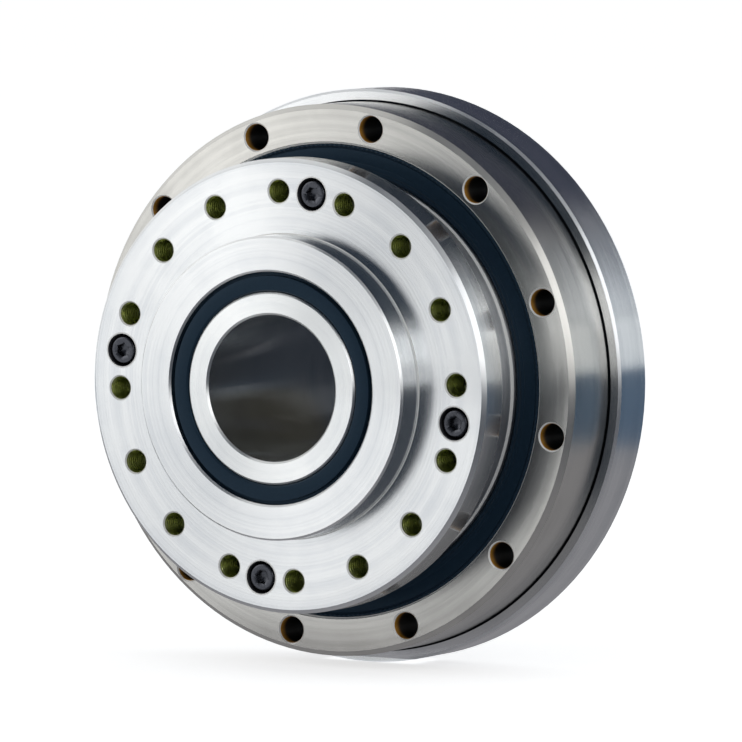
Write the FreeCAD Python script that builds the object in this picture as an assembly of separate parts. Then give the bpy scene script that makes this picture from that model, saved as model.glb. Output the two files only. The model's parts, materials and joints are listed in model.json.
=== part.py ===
import FreeCAD, Part
import math
import os

# Hollow-shaft strain wave gear unit, in millimetres.
# The axis of rotation is Y. The output face looks towards -Y and the rear cover towards +Y.
# The origin is on the axis, in the plane of the front mounting face of the bearing outer ring.
# Angles are in degrees, clockwise from +Z as seen from the output side.
# The radii are a chain: from the bore outwards to the teeth, and on from the teeth to the housing.

# Teeth, and the angle of the cam that bends the flexspline
flex_teeth = 100
spline_teeth = 102
tooth_addendum = 0.42
tooth_dedendum = 0.58
tooth_backlash = 0.06
flank_angle = 30.0
cam_angle = 0.0

# Flexspline, a flanged cup with its brim clamped in the housing
flex_rim_wall = 0.65
flex_tube_wall = 0.50
flex_tooth_width = 10.0
diaphragm_wall = 0.8
bend_radius = 1.2
brim_thickness = 2.4
brim_land = 0.8
brim_wall = 0.65
brim_clearance = 0.1
brim_relief = 0.5

# Lengths along the axis
boss_height = 6.2
neck_length = 10.0
ring_width = 14.7
cover_width = 11.3
shaft_rear_overhang = 6.0
shaft_front_recess = 0.3
spline_rear_length = 3.4
spline_tooth_margin = 0.5
flex_end_gap = 1.0
inner_ring_end_gap = 0.5
diaphragm_gap = 0.7
circlip_cover = 0.3

# Walls and steps from the bore outwards to the teeth
bore_radius = 14.5
shaft_wall = 4.5
shaft_step = 1.0
shaft_shoulder = 1.6
support_height = 6.0
boss_wall = 4.0
hub_wall = 3.32
hub_clearance = 1.2

# Walls and steps from the teeth outwards to the housing
spline_screw_wall = 1.035
neck_wall = 1.5
neck_screw_wall = 1.5
flange_wall = 4.25
race_wall = 0.4
main_seal_height = 5.7
seal_wall = 1.15
oring_wall = 0.85
ring_wall = 1.35
cover_step = 2.5

# Bolt patterns
output_holes = 16
output_hole_radius = 2.25
output_hole_angle = 19.95
flange_screw_count = 4
flange_screw_angle = 8.7
housing_holes = 12
housing_hole_radius = 2.65
housing_hole_angle = 10.3
cover_screw_count = 6
spline_screw_count = 12
input_holes = 6
input_hole_radius = 1.25
input_hole_depth = 6.0
input_hole_angle = 0.0

# Socket head cap screws, M3
screw_radius = 1.5
screw_head_radius = 2.75
screw_head_height = 3.0
screw_head_edge = 0.25
screw_head_sink = 0.3
screw_tip_edge = 0.3
screw_socket_width = 2.5
screw_socket_depth = 1.4
counterbore_radius = 3.25
spline_counterbore_radius = 3.0
screw_clearance = 0.1
thread_gap = 0.02
thread_run_out = 1.0
flange_screw_length = 12.0
cover_screw_length = 12.0
spline_screw_length = 14.0

# Crossed roller bearing
roller_diameter = 5.0
roller_gap = 0.02
roller_end_gap = 0.12
race_opening = 0.45
race_relief = 0.3
spacer_wall = 1.0
spacer_length = 2.75
spacer_lip = 0.4
spacer_gap = 0.05
plug_margin = 0.5
plug_pin_radius = 1.0
plug_pin_reach = 1.0

# Support bearings, thin section, 40 x 52 x 7
support_width = 7.0
support_ball_diameter = 3.572
support_ball_count = 22
ball_gap = 0.03
land_height = 0.9
shield_thickness = 0.4
shield_recess = 0.1
shield_step = 0.5
shield_gap = 0.12
cage_margin = 0.6
cage_gap = 0.3

# Wave bearing, bent to the cam's shape
wave_ball_diameter = 5.6
wave_ball_count = 23
wave_outer_wall = 1.0
wave_inner_wall = 1.15
wave_land_height = 1.1
wave_width = 9.0
wave_gap = 0.05
wave_cage_wall = 1.4
wave_cage_recess = 0.3
pocket_gap = 0.1

# Shoulder, nose and groove of the cam
cam_shoulder_height = 1.4
cam_shoulder_width = 2.0
cam_nose = 0.9
retaining_groove_depth = 0.9
retaining_ring_height = 3.0
retaining_ring_slot = 3.0

# Oil seals on the shaft
oil_seal_height = 4.0
oil_seal_width = 4.5
oil_seal_groove = 0.8
oil_seal_groove_depth = 1.2
oil_seal_web = 1.0
oil_seal_wall = 0.3
oil_seal_lip_height = 1.3
oil_seal_lip_length = 3.6
oil_seal_lip_back = 0.4
dust_lip_height = 0.35
dust_lip_depth = 0.5
lip_waist = 0.5
seal_lip_gap = 0.04

# Main seal between the fixed ring and the turning neck
main_seal_width = 2.8
main_seal_recess = 0.2
main_seal_step = 0.1
main_lip_waist = 0.5
main_lip_height = 1.6
main_lip_depth = 1.5
main_lip_face = 0.3
main_lip_land = 0.8
main_lip_back = 0.4
main_seal_root = 2.2
main_seal_bead = 0.9
main_seal_bead_groove = 0.2
main_seal_rim = 0.2

# O-rings of the brim, as they sit in their grooves
oring_width = 1.2
oring_depth = 0.75

# Circlips of the support bearings
circlip_thickness = 1.0
circlip_depth = 0.8
circlip_eye_radius = 1.2
circlip_eye_hole_radius = 0.6
circlip_eye_angle = 12.0
circlip_opening_angle = 20.0

# Common fits and edges
fit_gap = 0.01
running_gap = 0.3
overrun = 1.0
edge = 0.4
flange_edge = 0.8
ring_edge = 1.0
joint_groove_width = 0.4
joint_groove_depth = 0.6
hole_edge = 0.3
cover_edge = 0.5
cover_rear_edge = 1.0

# Radii that follow, from the bore to the teeth
shaft_end_radius = bore_radius + shaft_wall
support_bore_radius = shaft_end_radius + shaft_step
support_outer_radius = support_bore_radius + support_height
support_ball_radius = (support_bore_radius + support_outer_radius) / 2
bearing_seat_radius = support_outer_radius + fit_gap
shoulder_radius = support_bore_radius + shaft_shoulder
oil_seal_radius = shaft_end_radius + oil_seal_height
boss_radius = support_outer_radius + boss_wall
hub_radius = support_outer_radius + hub_wall
flex_bore_radius = hub_radius + hub_clearance
flex_tube_radius = flex_bore_radius + flex_tube_wall
flex_root_radius = flex_bore_radius + flex_rim_wall
flex_pitch_radius = flex_root_radius + tooth_dedendum

# The wave: the cam lifts the flexspline by half the difference of the pitch diameters
module = 2 * flex_pitch_radius / flex_teeth
tooth_thickness = math.pi * module / 2 - tooth_backlash / 2
tooth_space = math.pi * module / 2 + tooth_backlash / 2
wave_height = module * (spline_teeth - flex_teeth) / 2
wave_outer_radius = flex_bore_radius - wave_gap
wave_groove_radius = wave_ball_diameter / 2 + ball_gap
wave_ball_radius = wave_outer_radius - wave_outer_wall - wave_groove_radius
cam_radius = wave_ball_radius - wave_groove_radius - wave_inner_wall
retaining_groove_radius = cam_radius - wave_height - retaining_groove_depth

# Radii that follow, from the teeth to the housing
spline_pitch_radius = module * spline_teeth / 2
spline_root_radius = spline_pitch_radius + tooth_dedendum
spline_relief_radius = spline_root_radius + running_gap
spline_screw_circle = spline_root_radius + spline_screw_wall + spline_counterbore_radius
neck_radius = spline_screw_circle + spline_counterbore_radius + neck_wall
output_circle = neck_radius - neck_screw_wall - screw_radius
flange_radius = output_circle + output_hole_radius + flange_wall
screw_hole_radius = screw_radius + screw_clearance
thread_radius = screw_radius + thread_gap
screw_seat_depth = screw_head_height + screw_head_sink
roller_radius = roller_diameter / 2
plug_radius = roller_radius + plug_margin
race_depth = roller_radius * math.sqrt(2)
race_root_depth = race_depth + race_relief
roller_circle = spline_screw_circle + thread_radius + race_wall + race_root_depth
inner_race_radius = roller_circle - race_opening
outer_race_radius = roller_circle + race_opening
roller_count = 2 * int(math.pi * roller_circle / (roller_diameter + spacer_wall))
seal_pocket_radius = neck_radius + main_seal_height
housing_circle = seal_pocket_radius + seal_wall + housing_hole_radius
oring_radius = housing_circle - housing_hole_radius - oring_wall - oring_width / 2
brim_inner_radius = oring_radius - oring_width / 2 - brim_land
brim_radius = housing_circle + housing_hole_radius + brim_wall
ring_radius = housing_circle + housing_hole_radius + ring_wall
cover_radius = ring_radius + cover_step
input_circle = (bore_radius + shaft_end_radius) / 2

# Angles of the screws, half a step away from the holes beside them
cover_screw_angle = housing_hole_angle + 180.0 / housing_holes
spline_screw_angle = flange_screw_angle + 180.0 / spline_screw_count
plug_angle = cover_screw_angle + 180.0 + 180.0 / cover_screw_count

# Places along the axis that follow from the lengths
front_stack = shaft_front_recess + oil_seal_width + edge + support_width + circlip_thickness + circlip_cover
flange_thickness = front_stack - boss_height
flange_rear = -neck_length
flange_face = flange_rear - flange_thickness
boss_face = flange_face - boss_height
shaft_front = boss_face + shaft_front_recess
cover_front = ring_width
brim_rear = cover_front + brim_thickness
cover_rear = cover_front + cover_width
shaft_rear = cover_rear + shaft_rear_overhang
spline_front = flange_rear
spline_rear = spline_rear_length
spline_tooth_width = flex_end_gap + flex_tooth_width + spline_tooth_margin
inner_ring_rear = ring_width - inner_ring_end_gap
roller_plane = (spline_rear + inner_ring_rear) / 2
diaphragm_front = inner_ring_rear + diaphragm_gap
bend_front = diaphragm_front - bend_radius
flex_front = spline_front + flex_end_gap
flex_tooth_rear = flex_front + flex_tooth_width
wave_middle = flex_front + flex_tooth_width / 2
wave_front = wave_middle - wave_width / 2
wave_rear = wave_middle + wave_width / 2
retaining_groove_front = wave_front - circlip_thickness - fit_gap
cam_front = retaining_groove_front - cam_nose
front_seal_rear = shaft_front + oil_seal_width
front_bearing_front = front_seal_rear + edge
front_bearing_middle = front_bearing_front + support_width / 2
front_bearing_rear = front_bearing_front + support_width
rear_seal_front = cover_rear - oil_seal_width
rear_bearing_rear = rear_seal_front - edge
rear_bearing_middle = rear_bearing_rear - support_width / 2
rear_bearing_front = rear_bearing_rear - support_width
hub_front = rear_bearing_front - circlip_thickness - edge
main_seal_seat = main_seal_recess + main_seal_width

ORIGIN = FreeCAD.Vector(0, 0, 0)
AXIS = FreeCAD.Vector(0, 1, 0)


def at(radius, angle, y):
    """Point at a radius and a clockwise angle from +Z, in the plane y."""
    turn = math.radians(angle)
    return FreeCAD.Vector(radius * math.sin(turn), y, radius * math.cos(turn))


def outline(*steps):
    """Closed wire in the plane of +Z. A step is (r, y) for a line or (mid r, mid y, r, y) for an arc."""
    corners = [at(step[-2], 0, step[-1]) for step in steps]
    edges = []
    for index, step in enumerate(steps[1:] + steps[:1]):
        start = corners[index]
        end = corners[(index + 1) % len(corners)]
        if len(step) == 4:
            edges.append(Part.Arc(start, at(step[0], 0, step[1]), end).toShape())
        else:
            edges.append(Part.LineSegment(start, end).toShape())
    return Part.Wire(edges)


def turned(*steps):
    """Solid of revolution about the axis, from an outline in (radius, y)."""
    return Part.Face(outline(*steps)).revolve(ORIGIN, AXIS, 360)


def bar(radius, front, rear, circle_radius=0.0, angle=0.0):
    """Cylinder parallel to the axis, from one plane to another."""
    return Part.makeCylinder(radius, rear - front, at(circle_radius, angle, front), AXIS)


def drill(radius, front, rear, circle_radius):
    """Cylinder that cuts a hole through a wall between two planes, with some overrun on both sides."""
    return bar(radius, front - overrun, rear + overrun, circle_radius)


def mouth(radius, face, inward, circle_radius):
    """Cone that chamfers a hole where it opens in a face."""
    base = at(circle_radius, 0, face)
    return Part.makeCone(radius + hole_edge, radius, hole_edge, base, AXIS * inward)


def around(shape, count, first=0.0):
    """Compound of copies of a shape, evenly spaced about the axis."""
    copies = []
    for index in range(count):
        copy = shape.copy()
        copy.rotate(ORIGIN, AXIS, first + index * 360.0 / count)
        copies.append(copy)
    return Part.makeCompound(copies)


def flexed(radius, angle):
    """Where the wave carries a material point: radius, polar angle and direction of its normal.

    The middle line keeps its length, so the point moves out by w cos 2a and along by w/2 sin 2a.
    """
    phase = math.radians(2 * (angle - cam_angle))
    slope = math.degrees(wave_height / radius * math.sin(phase))
    return radius + wave_height * math.cos(phase), angle - 0.5 * slope, angle + 1.5 * slope


def oval(radius, y):
    """Ellipse of the cam's shape with a mean radius, starting at its major axis."""
    major = at(radius + wave_height, cam_angle, y)
    minor = at(radius - wave_height, cam_angle + 90, y)
    return Part.Wire(Part.Ellipse(major, minor, at(0, 0, y)).toShape())


def circle(radius, y):
    """Circle that starts at the same angle as the ovals, so that a loft between them has no twist."""
    points = [at(radius, cam_angle + turn, y) for turn in (0, 90, 180)]
    return Part.Wire(Part.Circle(*points).toShape())


def prism(wire, length):
    """Solid from a closed wire that lies across the axis."""
    return Part.Face(wire).extrude(AXIS * length)


def oval_bar(radius, front, rear):
    """Bar with the cam's oval section."""
    return prism(oval(radius, front), rear - front)


def oval_swept(radius, *steps):
    """Ring with a grooved section, swept along the oval that its balls run on."""
    section = outline(*steps)
    section.translate(FreeCAD.Vector(0, 0, wave_height))
    section.rotate(ORIGIN, AXIS, cam_angle)
    return oval(radius, 0.0).makePipeShell([section], True, True)


def cap_screw(head_face, length, inward):
    """Socket head cap screw on the axis, its head face in a plane, pointing inward."""
    into = AXIS * inward
    base = at(0, 0, head_face)
    side = at(1, 0, 0)
    end = screw_head_height + length
    profile = (
        (0, 0),
        (screw_head_radius - screw_head_edge, 0),
        (screw_head_radius, screw_head_edge),
        (screw_head_radius, screw_head_height),
        (screw_radius, screw_head_height),
        (screw_radius, end - screw_tip_edge),
        (screw_radius - screw_tip_edge, end),
        (0, end),
        (0, 0),
    )
    corners = [base + side * radius + into * depth for radius, depth in profile]
    blank = Part.Face(Part.makePolygon(corners)).revolve(base, AXIS, 360)
    corner_radius = screw_socket_width / math.sqrt(3)
    hexagon = [at(corner_radius, 60 * index, head_face) for index in range(7)]
    socket = Part.Face(Part.makePolygon(hexagon)).extrude(into * screw_socket_depth)
    return blank.cut(socket)


def cap_screws(head_face, length, inward, circle_radius, count, first):
    """Ring of equal screws on a bolt circle."""
    screw = cap_screw(head_face, length, inward)
    screw.translate(at(circle_radius, 0, 0))
    return around(screw, count, first)


def spur_outline(count, pitch_radius, outward, inward, thickness, place):
    """Closed polygon of straight-sided teeth.

    Heights are counted outward from the pitch line. The tooth is widest at its inward end,
    and place gives the radius, polar angle and normal direction of the middle of each tooth.
    """
    slope = math.tan(math.radians(flank_angle))
    points = []
    for index in range(count):
        radius, polar, normal = place(pitch_radius, index * 360.0 / count)
        middle = at(radius, polar, 0.0)
        out = at(1.0, normal, 0.0)
        side = at(1.0, normal + 90, 0.0)
        corners = (
            (-inward, -(thickness / 2 + inward * slope)),
            (outward, -(thickness / 2 - outward * slope)),
            (outward, thickness / 2 - outward * slope),
            (-inward, thickness / 2 + inward * slope),
        )
        for height, across in corners:
            points.append(middle + out * height + side * across)
    points.append(points[0])
    return Part.makePolygon(points)


def unbent(radius, angle):
    """Place of a tooth on a rigid ring."""
    return radius, angle, angle


def brim_bend(radius):
    """Arc that leads from the tube into the diaphragm, about the centre of the bend."""
    centre = flex_tube_radius + bend_radius
    part_way = radius * math.sqrt(0.5)
    return centre, centre - part_way, bend_front + part_way


def oval_to_round(radius):
    """Solid that is oval where the teeth end and round where the tube bends outwards."""
    return Part.makeLoft([oval(radius, flex_tooth_rear), circle(radius, bend_front)], True)


def make_flexspline():
    """Thin cup: external teeth on an oval rim, a tube that turns round, and a clamped brim."""
    teeth = spur_outline(
        flex_teeth, flex_pitch_radius, tooth_addendum, tooth_dedendum, tooth_thickness, flexed
    )
    teeth.translate(AXIS * flex_front)
    bore = oval_bar(flex_bore_radius, flex_front - overrun, flex_tooth_rear + overrun)
    rim = prism(teeth, flex_tooth_width).cut(bore)
    tube = oval_to_round(flex_tube_radius).cut(oval_to_round(flex_bore_radius))
    wide_radius = bend_radius + flex_tube_wall
    centre, wide_r, wide_y = brim_bend(wide_radius)
    _, tight_r, tight_y = brim_bend(bend_radius)
    brim = turned(
        (flex_bore_radius, bend_front),
        (wide_r, wide_y, centre, bend_front + wide_radius),
        (brim_inner_radius, diaphragm_front + diaphragm_wall),
        (brim_inner_radius, brim_rear),
        (brim_radius, brim_rear),
        (brim_radius, cover_front),
        (brim_inner_radius, cover_front),
        (brim_inner_radius, diaphragm_front),
        (centre, diaphragm_front),
        (tight_r, tight_y, flex_tube_radius, bend_front),
    )
    hole = drill(housing_hole_radius, cover_front, brim_rear, housing_circle)
    screw_hole = drill(screw_hole_radius, cover_front, brim_rear, housing_circle)
    cuts = [
        around(hole, housing_holes, housing_hole_angle),
        around(screw_hole, cover_screw_count, cover_screw_angle),
    ]
    return rim.fuse([tube, brim]).cut(cuts)


def make_circular_spline():
    """Rigid ring with two more teeth than the flexspline. Its rim is the neck behind the flange."""
    body = turned(
        (spline_relief_radius, spline_front),
        (neck_radius - edge / 2, spline_front),
        (neck_radius, spline_front + edge / 2),
        (neck_radius, spline_rear),
        (spline_relief_radius, spline_rear),
    )
    gaps = spur_outline(
        spline_teeth, spline_pitch_radius, tooth_dedendum, tooth_addendum, tooth_space, unbent
    )
    gaps.translate(AXIS * spline_front)
    blank = bar(spline_relief_radius + overrun, spline_front, spline_front + spline_tooth_width)
    toothed = blank.cut(prism(gaps, spline_tooth_width))
    solid = body.fuse(toothed).removeSplitter()
    seat = spline_front + screw_seat_depth
    reach = flange_screw_length - (flange_thickness - screw_seat_depth) + thread_run_out
    head = bar(spline_counterbore_radius, spline_front - overrun, seat, spline_screw_circle)
    shank = drill(screw_hole_radius, spline_front, spline_rear, spline_screw_circle)
    thread = bar(thread_radius, spline_front - overrun, spline_front + reach, output_circle)
    cuts = [
        around(head, spline_screw_count, spline_screw_angle),
        around(shank, spline_screw_count, spline_screw_angle),
        around(thread, flange_screw_count, flange_screw_angle),
    ]
    return solid.cut(cuts)


def race_groove():
    """Square ring on its corner, which grinds both races at once."""
    return turned(
        (roller_circle - race_depth, roller_plane),
        (roller_circle, roller_plane - race_depth),
        (roller_circle + race_depth, roller_plane),
        (roller_circle, roller_plane + race_depth),
    )


def race_root(root_radius):
    """Relief groove at the root of a race."""
    return turned(
        (root_radius, roller_plane - race_relief),
        (roller_circle, roller_plane - race_relief),
        (roller_circle, roller_plane + race_relief),
        (root_radius, roller_plane + race_relief),
    )


def make_bearing_inner_ring():
    """Inner ring of the crossed roller bearing, bolted to the circular spline."""
    body = turned(
        (spline_relief_radius, spline_rear),
        (inner_race_radius - edge, spline_rear),
        (inner_race_radius, spline_rear + edge),
        (inner_race_radius, inner_ring_rear - edge),
        (inner_race_radius - edge, inner_ring_rear),
        (spline_relief_radius + bend_radius, inner_ring_rear),
        (spline_relief_radius, inner_ring_rear - bend_radius),
    )
    reach = spline_screw_length - (spline_rear - spline_front - screw_seat_depth) + thread_run_out
    thread = bar(thread_radius, spline_rear - overrun, spline_rear + reach, spline_screw_circle)
    cuts = [
        race_groove(),
        race_root(roller_circle - race_root_depth),
        around(thread, spline_screw_count, spline_screw_angle),
    ]
    return body.cut(cuts)


def outer_ring_blank():
    """Outer ring before its loading hole is bored. A narrow groove marks its joint with the cover."""
    groove_half = oring_width / 2
    body = turned(
        (seal_pocket_radius, edge),
        (seal_pocket_radius + edge, 0.0),
        (ring_radius - ring_edge, 0.0),
        (ring_radius, ring_edge),
        (ring_radius, ring_width - joint_groove_width),
        (ring_radius - joint_groove_depth, ring_width - joint_groove_width),
        (ring_radius - joint_groove_depth, ring_width),
        (oring_radius + groove_half, ring_width),
        (oring_radius + groove_half, ring_width - oring_depth),
        (oring_radius - groove_half, ring_width - oring_depth),
        (oring_radius - groove_half, ring_width),
        (outer_race_radius + edge, ring_width),
        (outer_race_radius, ring_width - edge),
        (outer_race_radius, main_seal_seat),
        (seal_pocket_radius, main_seal_seat),
    )
    reach = cover_screw_length - (cover_width - screw_seat_depth) + thread_run_out
    hole = drill(housing_hole_radius, 0.0, ring_width, housing_circle)
    lip = mouth(housing_hole_radius, 0.0, 1, housing_circle)
    thread = bar(thread_radius, ring_width - reach, ring_width + overrun, housing_circle)
    cuts = [
        race_groove(),
        race_root(roller_circle + race_root_depth),
        around(hole, housing_holes, housing_hole_angle),
        around(lip, housing_holes, housing_hole_angle),
        around(thread, cover_screw_count, cover_screw_angle),
        plug_pin_shape(plug_pin_radius + fit_gap, ring_width + overrun),
    ]
    return body.cut(cuts)


def loading_hole(radius):
    """Radial cylinder through which the rollers are put in."""
    inner = roller_circle - race_depth
    base = at(inner, plug_angle, roller_plane)
    return Part.makeCylinder(radius, ring_radius - inner + overrun, base, at(1, plug_angle, 0))


def plug_pin_shape(radius, rear):
    """Pin that holds the plug, driven in from the rear face."""
    front = roller_plane - plug_radius - plug_pin_reach
    return bar(radius, front, rear, housing_circle, plug_angle)


def make_rear_cover():
    """Rear housing: a recess that clamps the brim, a bearing hub inside the cup, and a seal bore."""
    cavity = brim_rear + brim_relief
    recess_radius = brim_radius + brim_clearance
    groove_half = oring_width / 2
    groove_front = rear_bearing_front - circlip_thickness - fit_gap
    body = turned(
        (recess_radius, cover_front),
        (cover_radius - cover_edge, cover_front),
        (cover_radius, cover_front + cover_edge),
        (cover_radius, cover_rear - cover_rear_edge),
        (cover_radius - cover_rear_edge, cover_rear),
        (oil_seal_radius + edge, cover_rear),
        (oil_seal_radius, cover_rear - edge),
        (oil_seal_radius, rear_bearing_rear),
        (bearing_seat_radius, rear_bearing_rear),
        (bearing_seat_radius, rear_bearing_front),
        (bearing_seat_radius + circlip_depth, rear_bearing_front),
        (bearing_seat_radius + circlip_depth, groove_front),
        (bearing_seat_radius, groove_front),
        (bearing_seat_radius, hub_front),
        (hub_radius - edge, hub_front),
        (hub_radius, hub_front + edge),
        (hub_radius, cavity),
        (brim_inner_radius, cavity),
        (brim_inner_radius, brim_rear),
        (oring_radius - groove_half, brim_rear),
        (oring_radius - groove_half, brim_rear + oring_depth),
        (oring_radius + groove_half, brim_rear + oring_depth),
        (oring_radius + groove_half, brim_rear),
        (recess_radius, brim_rear),
    )
    seat = cover_rear - screw_seat_depth
    hole = drill(housing_hole_radius, cover_front, cover_rear, housing_circle)
    lip = mouth(housing_hole_radius, cover_rear, -1, housing_circle)
    shank = drill(screw_hole_radius, cover_front, cover_rear, housing_circle)
    head = bar(counterbore_radius, seat, cover_rear + overrun, housing_circle)
    cuts = [
        around(hole, housing_holes, housing_hole_angle),
        around(lip, housing_holes, housing_hole_angle),
        around(shank, cover_screw_count, cover_screw_angle),
        around(head, cover_screw_count, cover_screw_angle),
    ]
    return body.cut(cuts)


def make_output_flange():
    """Output flange with its boss. The boss holds the front support bearing and the oil seal."""
    groove_rear = front_bearing_rear + circlip_thickness + fit_gap
    body = turned(
        (oil_seal_radius + edge, boss_face),
        (boss_radius - edge, boss_face),
        (boss_radius, boss_face + edge),
        (boss_radius, flange_face),
        (flange_radius - flange_edge, flange_face),
        (flange_radius, flange_face + flange_edge),
        (flange_radius, flange_rear - edge),
        (flange_radius - edge, flange_rear),
        (bearing_seat_radius, flange_rear),
        (bearing_seat_radius, groove_rear),
        (bearing_seat_radius + circlip_depth, groove_rear),
        (bearing_seat_radius + circlip_depth, front_bearing_rear),
        (bearing_seat_radius, front_bearing_rear),
        (bearing_seat_radius, front_bearing_front),
        (oil_seal_radius, front_bearing_front),
        (oil_seal_radius, boss_face + edge),
    )
    seat = flange_face + screw_seat_depth
    hole = drill(output_hole_radius, flange_face, flange_rear, output_circle)
    lip = mouth(output_hole_radius, flange_face, 1, output_circle)
    shank = drill(screw_hole_radius, flange_face, flange_rear, output_circle)
    head = bar(counterbore_radius, flange_face - overrun, seat, output_circle)
    cuts = [
        around(hole, output_holes, output_hole_angle),
        around(lip, output_holes, output_hole_angle),
        around(shank, flange_screw_count, flange_screw_angle),
        around(head, flange_screw_count, flange_screw_angle),
    ]
    return body.cut(cuts)


def make_oil_seal(face, inward):
    """Shaft seal: a rubber case with a groove round its face, a dust lip and a main lip."""
    def y(depth):
        return face + inward * depth
    outer = oil_seal_radius - fit_gap
    lip = shaft_end_radius + seal_lip_gap
    rim = outer - oil_seal_groove
    wall = rim - oil_seal_wall
    web = oil_seal_groove_depth + oil_seal_web
    back = oil_seal_lip_length
    return turned(
        (rim, y(0)),
        (rim, y(oil_seal_groove_depth)),
        (outer, y(oil_seal_groove_depth)),
        (outer, y(oil_seal_width)),
        (wall, y(oil_seal_width)),
        (wall, y(web)),
        (lip + oil_seal_lip_height, y(web)),
        (lip + oil_seal_lip_height, y(back)),
        (lip + oil_seal_lip_back, y(back + running_gap)),
        (lip, y(back - oil_seal_lip_back)),
        (lip + lip_waist, y((back - oil_seal_lip_back + dust_lip_depth) / 2)),
        (lip, y(dust_lip_depth)),
        (lip + dust_lip_height, y(0)),
    )


def make_main_seal():
    """Large seal: a flat face with a bead round its rim and a lip on the neck."""
    rear = main_seal_seat - fit_gap
    outer = seal_pocket_radius - fit_gap
    lip = neck_radius + seal_lip_gap
    front = main_seal_recess
    face = front + main_seal_step
    floor = front + main_lip_face
    waist = front + main_lip_depth
    bead = outer - main_seal_bead
    return turned(
        (outer, floor),
        (outer, rear),
        (lip + main_seal_root, rear),
        (lip + main_lip_height, waist),
        (lip + main_lip_waist, waist + main_seal_step),
        (lip, waist + main_lip_back),
        (lip, waist - main_lip_back),
        (lip + main_lip_land, floor),
        (lip + main_lip_height - main_lip_face, floor),
        (lip + main_lip_height, face),
        (bead, face),
        (bead + main_seal_bead_groove / 2, floor),
        (bead + 1.5 * main_seal_bead_groove, floor),
        (bead + 2 * main_seal_bead_groove, front),
        (outer - main_seal_rim, front),
    )


def make_oring(face, inward):
    """O-ring as it sits pressed in its groove."""
    half = oring_width / 2 - fit_gap
    deep = face + inward * (oring_depth - fit_gap)
    corner = oring_depth / 3
    return turned(
        (oring_radius - half, face + inward * corner),
        (oring_radius - half + corner, face),
        (oring_radius + half - corner, face),
        (oring_radius + half, face + inward * corner),
        (oring_radius + half, deep - inward * corner),
        (oring_radius + half - corner, deep),
        (oring_radius - half + corner, deep),
        (oring_radius - half, deep - inward * corner),
    )


def make_support_outer_ring(middle):
    """Outer ring of a support bearing, stepped at both ends for the shields."""
    groove = support_ball_diameter / 2 + ball_gap
    half = support_width / 2
    land = support_ball_radius + land_height
    step = land + shield_step
    seat = half - shield_thickness - shield_recess
    reach = math.sqrt(groove ** 2 - land_height ** 2)
    return turned(
        (support_outer_radius - edge / 2, middle - half),
        (support_outer_radius, middle - half + edge / 2),
        (support_outer_radius, middle + half - edge / 2),
        (support_outer_radius - edge / 2, middle + half),
        (step, middle + half),
        (step, middle + seat),
        (land, middle + seat),
        (land, middle + reach),
        (support_ball_radius + groove, middle, land, middle - reach),
        (land, middle - seat),
        (step, middle - seat),
        (step, middle - half),
    )


def make_support_inner_ring(middle):
    """Inner ring of a support bearing, seated on the shaft."""
    groove = support_ball_diameter / 2 + ball_gap
    half = support_width / 2
    land = support_ball_radius - land_height
    reach = math.sqrt(groove ** 2 - land_height ** 2)
    bore = support_bore_radius + fit_gap
    return turned(
        (bore, middle - half + edge / 2),
        (bore + edge / 2, middle - half),
        (land, middle - half),
        (land, middle - reach),
        (support_ball_radius - groove, middle, land, middle + reach),
        (land, middle + half),
        (bore + edge / 2, middle + half),
        (bore, middle + half - edge / 2),
    )


def make_support_balls(middle):
    """Balls of a support bearing."""
    ball = Part.makeSphere(support_ball_diameter / 2, at(support_ball_radius, 0, middle))
    return around(ball, support_ball_count)


def make_support_cage(middle):
    """Ring cage with a pocket for each ball."""
    half = support_ball_diameter / 2 + cage_margin
    wall = land_height - cage_gap
    ring = turned(
        (support_ball_radius - wall, middle - half),
        (support_ball_radius + wall, middle - half),
        (support_ball_radius + wall, middle + half),
        (support_ball_radius - wall, middle + half),
    )
    pocket = Part.makeSphere(support_ball_diameter / 2 + pocket_gap, at(support_ball_radius, 0, middle))
    return ring.cut(around(pocket, support_ball_count))


def make_shields(middle):
    """The two shields of a support bearing, fixed in its outer ring."""
    inner = support_ball_radius - land_height + shield_gap
    outer = support_ball_radius + land_height + shield_step - fit_gap
    shields = []
    for side in (-1, 1):
        far = middle + side * (support_width / 2 - shield_recess)
        near = far - side * shield_thickness
        shields.append(turned((inner, near), (outer, near), (outer, far), (inner, far)))
    return Part.makeCompound(shields)


def make_circlip(front, rear):
    """Internal circlip with two eyes at its opening."""
    outer = support_outer_radius + circlip_depth
    inner = support_outer_radius - circlip_depth
    ring = turned((inner, front), (outer, front), (outer, rear), (inner, rear))
    eyes = []
    holes = []
    for side in (-1, 1):
        angle = side * circlip_eye_angle
        eyes.append(bar(circlip_eye_radius, front, rear, inner, angle))
        holes.append(bar(circlip_eye_hole_radius, front - overrun, rear + overrun, inner, angle))
    half = circlip_opening_angle / 2
    reach = (outer + overrun) / math.cos(math.radians(half))
    corners = [
        at(0, 0, front - overrun),
        at(reach, -half, front - overrun),
        at(reach, half, front - overrun),
        at(0, 0, front - overrun),
    ]
    opening = prism(Part.makePolygon(corners), rear - front + 2 * overrun)
    return ring.cut(opening).fuse(eyes).cut(holes).removeSplitter()


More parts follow.
